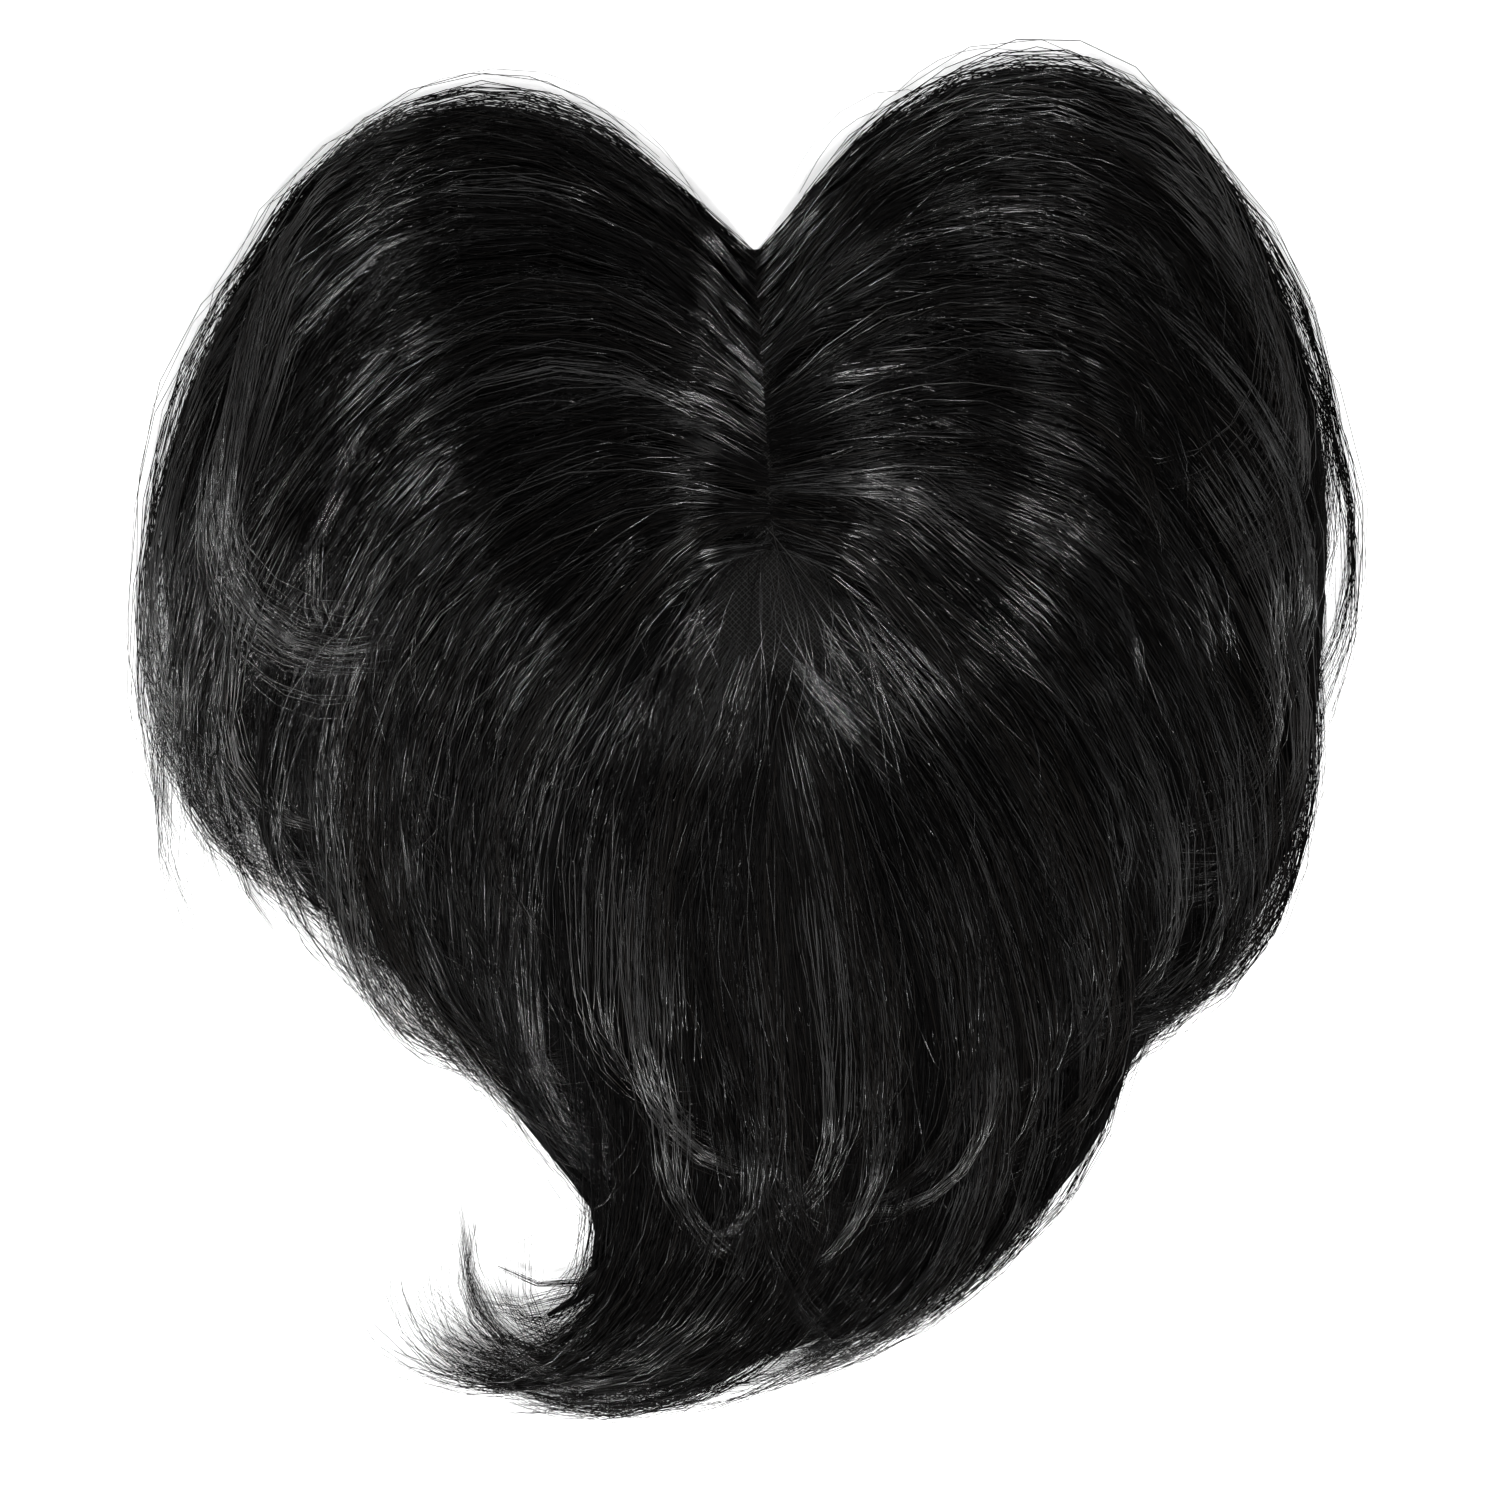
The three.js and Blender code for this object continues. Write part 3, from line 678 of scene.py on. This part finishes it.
def net_material():
    """Matt black tulle: threads over holes painted near-black as the shade seen through them, as relief and
    colour.
    """
    material, tree, shader = new_material("black_net", {"Specular IOR Level": 0.04})
    threads = lattice(tree, NET_PITCH, THREAD_WIDTH)
    # The holes are painted shade, near-black; the threads keep their own dark grey
    tree.plug(shader.inputs["Base Color"], ramp(tree, threads, NET_THREAD_AND_HOLE_SHADE_TONES))
    tree.plug(shader.inputs["Roughness"], 0.9 - 0.2 * threads)
    relief = {"Strength": 0.6, "Distance": 0.0003, "Height": threads}
    tree.plug(shader.inputs["Normal"], tree.add("ShaderNodeBump", None, relief))
    return material


def thread_material():
    """The net's own threads, a little worn to grey."""
    material, tree, shader = new_material("net_thread", {"Specular IOR Level": 0.25})
    wear = noise(tree, object_place(tree), 900, 2)
    tree.plug(shader.inputs["Base Color"], ramp(tree, wear, THREAD_TONES))
    tree.plug(shader.inputs["Roughness"], 0.45 + 0.3 * wear)
    return material


def clip_material():
    """Black enamel on spring steel, rubbed in places."""
    material, tree, shader = new_material("black_enamel", {"Metallic": 0.6})
    rub = noise(tree, object_place(tree), 700, 3)
    tree.plug(shader.inputs["Base Color"], ramp(tree, rub, ENAMEL_TONES))
    tree.plug(shader.inputs["Roughness"], 0.25 + 0.25 * rub)
    return material


def geometry_group(name, inputs):
    """A Geometry Nodes group with named inputs: (group, its Tree, its input node, identifiers by name)."""
    group = bpy.data.node_groups.new(name, "GeometryNodeTree")
    sockets = group.interface
    sockets.new_socket("Geometry", in_out="INPUT", socket_type="NodeSocketGeometry")
    sockets.new_socket("Geometry", in_out="OUTPUT", socket_type="NodeSocketGeometry")
    identifiers = {}
    for label, kind in inputs.items():
        identifiers[label] = sockets.new_socket(label, in_out="INPUT", socket_type=kind).identifier
    tree = Tree(group)
    return group, tree, tree.add("NodeGroupInput"), identifiers


def finish_group(tree, geometry, material):
    """Ends a group in Realize Instances and Set Material."""
    real = tree.add("GeometryNodeRealizeInstances", None, {"Geometry": geometry})
    painted = tree.add("GeometryNodeSetMaterial", None, {"Geometry": real, "Material": material})
    tree.plug(tree.add("NodeGroupOutput").inputs[0], painted)


def tube_group():
    """Polylines become thin closed tubes, as thick as their girth says."""
    inputs = {"Width": "NodeSocketFloat", "Sides": "NodeSocketInt", "Material": "NodeSocketMaterial"}
    group, tree, given, identifiers = geometry_group("thin_tubes", inputs)
    curve = tree.add("GeometryNodeMeshToCurve", None, {"Mesh": given.outputs["Geometry"]})
    girth = tree.add("GeometryNodeInputNamedAttribute", {"data_type": "FLOAT"}, {"Name": "girth"})
    radius = tree.value(girth, "Attribute") * tree.value(given, "Width") * 0.5
    level = tree.add("GeometryNodeSetCurveNormal", {"mode": "Z_UP"}, {"Curve": curve})
    circle = {"Resolution": given.outputs["Sides"], "Radius": 1.0}
    ring = tree.add("GeometryNodeCurvePrimitiveCircle", None, circle)
    turned = tree.add("GeometryNodeTransform", None, {"Geometry": ring, "Rotation": (0, 0, FLAT_UP)})
    sweep = {"Curve": level, "Profile Curve": turned, "Scale": radius, "Fill Caps": True}
    tube = tree.add("GeometryNodeCurveToMesh", None, sweep)
    round_tube = tree.add("GeometryNodeSetShadeSmooth", None, {"Geometry": tube})
    finish_group(tree, round_tube, given.outputs["Material"])
    return group, identifiers


def grown(name, mesh, group, identifiers, settings):
    """The plain mesh object that a Geometry Nodes group makes of a mesh."""
    seed = bpy.data.objects.new(name + "_seed", mesh)
    bpy.context.scene.collection.objects.link(seed)
    modifier = seed.modifiers.new("grow", "NODES")
    modifier.node_group = group
    for label, value in settings.items():
        modifier[identifiers[label]] = value
    graph = bpy.context.evaluated_depsgraph_get()
    ready = seed.evaluated_get(graph)
    made = bpy.data.meshes.new_from_object(ready, preserve_all_data_layers=True, depsgraph=graph)
    seed.modifiers.clear()
    bpy.data.objects.remove(seed)
    return shown(name, made)


def shown(name, mesh):
    """A mesh as an object in the scene."""
    mesh.name = name
    piece = bpy.data.objects.new(name, mesh)
    bpy.context.scene.collection.objects.link(piece)
    return piece


def lines_mesh(name, points, edges, girth, tone):
    """Bare lines with each point's girth and colour value, which on the strands also carries painted sheen.
    """
    mesh = bpy.data.meshes.new(name)
    mesh.from_pydata(points, edges, [])
    for label, values in (("girth", girth), ("tone", tone)):
        layer = mesh.attributes.new(label, "FLOAT", "POINT")
        layer.data.foreach_set("value", np.ascontiguousarray(values, np.float32).ravel())
    return mesh


def strand_lines(name, strands):
    """Each strand as one bare line."""
    count, steps = strands.points.shape[:2]
    index = np.arange(count * steps).reshape(count, steps)
    edges = np.stack([index[:, :-1], index[:, 1:]], axis=2).reshape(-1, 2)
    tone = np.repeat(strands.tone, steps)
    return lines_mesh(name, strands.points.reshape(-1, 3), edges, strands.girth, tone)


def place_piece(piece, node):
    """A piece of the hair that stands for a CAD node."""
    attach(piece, "root")
    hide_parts(node)


def lay_strands(node, strands, tube, dull, glossy):
    """The strands of one section of hair: most of them dull and some glossy, in pieces of a fair size."""
    group, identifiers = tube
    order = np.random.default_rng(5).permutation(len(strands.tone))
    shiny = order[strands.glossy[order]]
    plain = order[~strands.glossy[order]]
    bundles = [("glossy", glossy, shiny)]
    pieces = np.array_split(plain, math.ceil(len(plain) / BUNDLE))
    bundles += [(f"strands_{n + 1}", dull, chosen) for n, chosen in enumerate(pieces)]
    for label, material, chosen in bundles:
        name = f"{node}_{label}"
        lines = strand_lines(name, Strands(*(column[chosen] for column in strands)))
        settings = {"Width": STRAND_WIDTH, "Sides": STRAND_SIDES, "Material": material}
        place_piece(grown(name, lines, group, identifiers, settings), node)


def under_lock(table, place, side):
    """One lock of the hair under the strands: rings of points round it, and each point's place as UV."""
    shares = np.linspace(0, UNDER_TO, UNDER_STEPS + 1)[None, :]
    turn = side * UNDER_CURL * smooth(0.6, 1, shares[:, 1:])
    flat, lines = walk(table, np.array([place]), shares, turn)
    depth = hair_depth(shares, flat[:, :, 0], flat[:, :, 1], lines)
    reach = ((flat[0, :, 0] - WINDOW_MIDDLE.x) / WINDOW_WIDTH) ** 2
    reach = reach + ((flat[0, :, 1] - WINDOW_MIDDLE.y) / WINDOW_LENGTH) ** 2
    kept = (shares[0] > UNDER_FROM) & (reach > 0.6**2)
    flat, shares, depth = flat[0][kept], shares[0][kept], depth[0][kept]
    heading = np.unwrap(np.arctan2(*np.gradient(flat, axis=0).T[::-1]))
    deep = (depth * UNDER_DEPTH - UNDER_SINK) * smooth(0, 0.16, shares - shares[0])
    deep = deep * (1 - 0.9 * smooth(0.5, UNDER_TO, shares))
    half = (UNDER_WIDTH * lines.width[0, 0] + UNDER_MARGIN) * (0.3 + 0.7 * smooth(0, 0.36, shares))
    half = half * (1 - 0.97 * smooth(0.6, UNDER_TO, shares))
    x = flat[:, 0, None] - np.sin(heading)[:, None] * RING_ACROSS * half[:, None]
    y = flat[:, 1, None] + np.cos(heading)[:, None] * RING_ACROSS * half[:, None]
    z = dome_height(x, y) + UNDER_GAP + RING_UP * np.maximum(deep, UNDER_THINNEST)[:, None]
    along = lines.length[0, 0] * shares
    uv = np.stack(np.broadcast_arrays(along[:, None], RING_ACROSS * half[:, None] + place), axis=2)
    return np.stack([x, y, z], axis=2), uv


def under_hair(node, locks, material):
    """The body of the hair below the top strands, as closed locks that overlap."""
    points, uvs, faces = [], [], []
    base = 0
    for rings, uv in locks:
        steps, count = rings.shape[:2]
        points.append(rings.reshape(-1, 3))
        uvs.append(uv.reshape(-1, 2))
        for r in range(steps - 1):
            for k in range(count):
                a = base + r * count + k
                b = base + r * count + (k + 1) % count
                faces.append((a, a + count, b + count, b))
        faces.append(tuple(base + k for k in range(count)))
        faces.append(tuple(base + (steps - 1) * count + k for k in reversed(range(count))))
        base += steps * count
    mesh = bpy.data.meshes.new(node + "_under")
    mesh.from_pydata(np.concatenate(points), [], faces)
    layer = mesh.uv_layers.new(name="strands")
    corner = np.empty(len(mesh.loops), np.int32)
    mesh.loops.foreach_get("vertex_index", corner)
    layer.data.foreach_set("uv", np.concatenate(uvs)[corner].astype(np.float32).ravel())
    mesh.materials.append(material)
    for polygon in mesh.polygons:
        polygon.use_smooth = len(polygon.vertices) == 4
    place_piece(shown(node + "_under", mesh), node)


def net_threads(tube, material):
    """Real threads where the net shows: along the parting and in the oval at its back end."""
    count = int(2 * NET_REACH / NET_PITCH)
    steps = (np.arange(count + 1) - count / 2) * NET_PITCH
    u, v = np.meshgrid(steps, steps, indexing="ij")
    x = WINDOW_MIDDLE.x + (u - v) / math.sqrt(2)
    y = WINDOW_MIDDLE.y + (u + v) / math.sqrt(2)
    part_x = PART_FRONT.x + (PART_BACK.x - PART_FRONT.x) * (PART_FRONT.y - y) / PART_LENGTH
    strip = (abs(x - part_x) < STRIP_HALF) & (y < PART_FRONT.y - STRIP_START) & (y > PART_BACK.y)
    oval = ((x - WINDOW_MIDDLE.x) / WINDOW_WIDTH) ** 2 + ((y - WINDOW_MIDDLE.y) / WINDOW_LENGTH) ** 2
    kept = strip | (oval < 0.7**2)
    index = np.arange(kept.size).reshape(kept.shape)
    rows = kept[:-1] & kept[1:]
    columns = kept[:, :-1] & kept[:, 1:]
    edges = np.concatenate([
        np.stack([index[:-1][rows], index[1:][rows]], axis=1),
        np.stack([index[:, :-1][columns], index[:, 1:][columns]], axis=1),
    ])
    rng = np.random.default_rng(11)
    shake = rng.normal(0, THREAD_SHAKE, (2, *x.shape))
    x, y = x + shake[0], y + shake[1]
    z = dome_height(x, y) + THREAD_LIFT
    used, renumbered = np.unique(edges, return_inverse=True)
    points = np.stack([x, y, z], axis=2).reshape(-1, 3)[used]
    one = np.ones(len(points))
    mesh = lines_mesh("net_lines", points, renumbered.reshape(-1, 2), one, one)
    group, identifiers = tube
    settings = {"Width": THREAD_WIDTH, "Sides": STRAND_SIDES, "Material": material}
    piece = grown("net_threads", mesh, group, identifiers, settings)
    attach(piece, "root")


def paint_nodes():
    """The net base and the clips keep their own solids."""
    net, enamel = net_material(), clip_material()
    for name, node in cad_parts.items():
        if name.startswith("hair"):
            continue
        node.data.materials.clear()
        node.data.materials.append(net if name == "base_net" else enamel)


def make_floor():
    """A white table under everything, which glows a little and so looks evenly lit."""
    size = 6.0
    corners = [(-size, -size, 0), (size, -size, 0), (size, size, 0), (-size, size, 0)]
    mesh = bpy.data.meshes.new("table_top")
    mesh.from_pydata(corners, [], [(0, 1, 2, 3)])
    constants = {
        "Base Color": (0.86, 0.86, 0.86, 1),
        "Roughness": 0.8,
        "Emission Color": (1, 1, 1, 1),
        "Emission Strength": 0.5,
    }
    mesh.materials.append(new_material("white_table", constants)[0])
    shown("table_top", mesh)


def make_light(name, place, size, watts):
    """A soft light that looks at the middle of the table, with its place and size in metres."""
    light = bpy.data.lights.new(name, "AREA")
    light.shape = "RECTANGLE"
    light.size, light.size_y = size
    light.energy = watts
    lamp = bpy.data.objects.new(name, light)
    bpy.context.scene.collection.objects.link(lamp)
    lamp.location = place
    lamp.rotation_mode = "QUATERNION"
    lamp.rotation_quaternion = (-Vector(place)).to_track_quat("-Z", "Y")


def make_camera():
    """Straight above, as the photograph was taken."""
    camera = bpy.data.cameras.new("camera")
    camera.lens = LENS
    camera.sensor_width = SENSOR
    stand = bpy.data.objects.new("camera", camera)
    bpy.context.scene.collection.objects.link(stand)
    stand.location = (FRAME_X, FRAME_Y, FRAME_WIDTH * LENS / SENSOR + FRAME_Z)
    bpy.context.scene.camera = stand


def make_world():
    """A dark ceiling and paler walls."""
    world = bpy.data.worlds.new("studio")
    world.use_nodes = True
    tree = Tree(world.node_tree)
    spot = tree.add("ShaderNodeTexCoord").outputs["Generated"]
    up = tree.value(tree.add("ShaderNodeSeparateXYZ", None, {0: spot}), "Z")
    tree.plug(world.node_tree.nodes["Background"].inputs["Color"], ramp(tree, up, STUDIO_TONES))
    bpy.context.scene.world = world


def make_hair(tube):
    """The three sections of hair, each from its own comb table, lots and seed."""
    dull = fibre_material("black_fibre", 0.1)
    glossy = fibre_material("glossy_fibre", 1.0)
    under = under_material()
    sides = {"hair_left": (LEFT, LEFT_FLICKS, 1), "hair_right": (RIGHT, RIGHT_FLICKS, -1)}
    for node, (table, flicks, side) in sides.items():
        rng = np.random.default_rng(22 - side)
        strands = join_strands([comb_lot(rng, table, lot, side) for lot in SIDE_LOTS + flicks])
        lay_strands(node, strands, tube, dull, glossy)
        places = np.linspace(0.01, BACK_STATION, 18)
        under_hair(node, [under_lock(table, place, side) for place in places], under)
    rng = np.random.default_rng(24)
    parts = [comb_lot(rng, BACK, lot, -1) for lot in BACK_LOTS + BACK_LAYER_RIGHT + TAIL_FLICKS]
    parts += [comb_lot(rng, BACK, lot, 1) for lot in BACK_LAYER_LEFT]
    parts += [comb_lot(rng, FAN, lot, -1) for lot in FAN_LOTS]
    lay_strands("hair_back", join_strands(parts), tube, dull, glossy)
    places = np.linspace(0.04, 0.98, 20)
    under_hair("hair_back", [under_lock(BACK, place, -0.5) for place in places], under)


make_camera()
make_world()
make_floor()
make_light("softbox_near", (0.04, -0.66, 1.1), (0.3, 0.3), 26)
make_light("softbox_far", (0.0, 0.95, 1.0), (1.3, 0.5), 6)
make_light("softbox_left", (-1.2, 0.1, 0.8), (0.3, 1.0), 3)
make_light("softbox_right", (1.2, 0.1, 0.8), (0.3, 1.0), 4)
bpy.context.scene.view_settings.view_transform = "Standard"
paint_nodes()
thin_tubes = tube_group()
net_threads(thin_tubes, thread_material())
make_hair(thin_tubes)
